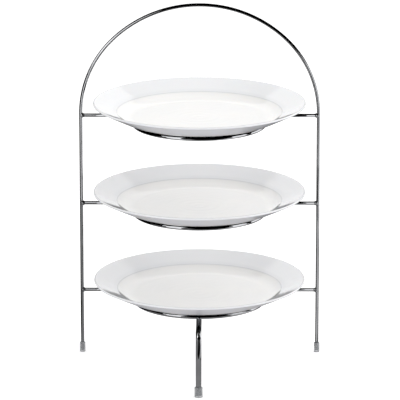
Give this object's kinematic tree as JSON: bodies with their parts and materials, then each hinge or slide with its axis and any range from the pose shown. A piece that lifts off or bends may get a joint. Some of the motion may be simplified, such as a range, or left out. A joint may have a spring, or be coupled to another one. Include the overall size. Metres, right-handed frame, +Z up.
{
  "type": "tiered plate stand",
  "caption": "Chrome wire arch stand with round rings on stub rods, a stepped front leg with capped feet, and rimmed white porcelain plates that lift out of the rings.",
  "frame": {"origin": "on the floor, at the middle of the footprint's box: halfway between the front foot cap and the plates' backs, and halfway between the arch's legs", "axes": "+Z up; the arch lies in an XZ plane, X runs from leg to leg, and the front leg points to -Y"},
  "size_m": [0.308, 0.2882, 0.458],
  "materials": {
    "chrome_wire": "bright chrome plating over mild steel wire",
    "clear_vinyl": "soft translucent grey vinyl, dip moulded",
    "white_porcelain": "white porcelain under a clear gloss glaze"
  },
  "bodies": {
    "stand": {"arch_wire": "chrome_wire", "top_ring": "chrome_wire", "middle_ring": "chrome_wire", "bottom_ring": "chrome_wire", "top_left_rod": "chrome_wire", "top_right_rod": "chrome_wire", "middle_left_rod": "chrome_wire", "middle_right_rod": "chrome_wire", "bottom_left_rod": "chrome_wire", "bottom_right_rod": "chrome_wire", "top_welds": "chrome_wire", "middle_welds": "chrome_wire", "bottom_welds": "chrome_wire", "front_leg": "chrome_wire", "front_leg_weld": "chrome_wire", "left_foot_cap": "clear_vinyl", "right_foot_cap": "clear_vinyl", "front_foot_cap": "clear_vinyl"},
    "top_plate_body": {"top_plate": "white_porcelain"},
    "middle_plate_body": {"middle_plate": "white_porcelain"},
    "bottom_plate_body": {"bottom_plate": "white_porcelain"}
  },
  "joints": [
    {"name": "top_plate_lift", "type": "slide", "parent": "stand", "child": "top_plate_body", "axis": [0, 0, 1], "range_m": [0, 0.04]},
    {"name": "middle_plate_lift", "type": "slide", "parent": "stand", "child": "middle_plate_body", "axis": [0, 0, 1], "range_m": [0, 0.08]},
    {"name": "bottom_plate_lift", "type": "slide", "parent": "stand", "child": "bottom_plate_body", "axis": [0, 0, 1], "range_m": [0, 0.08]}
  ]
}
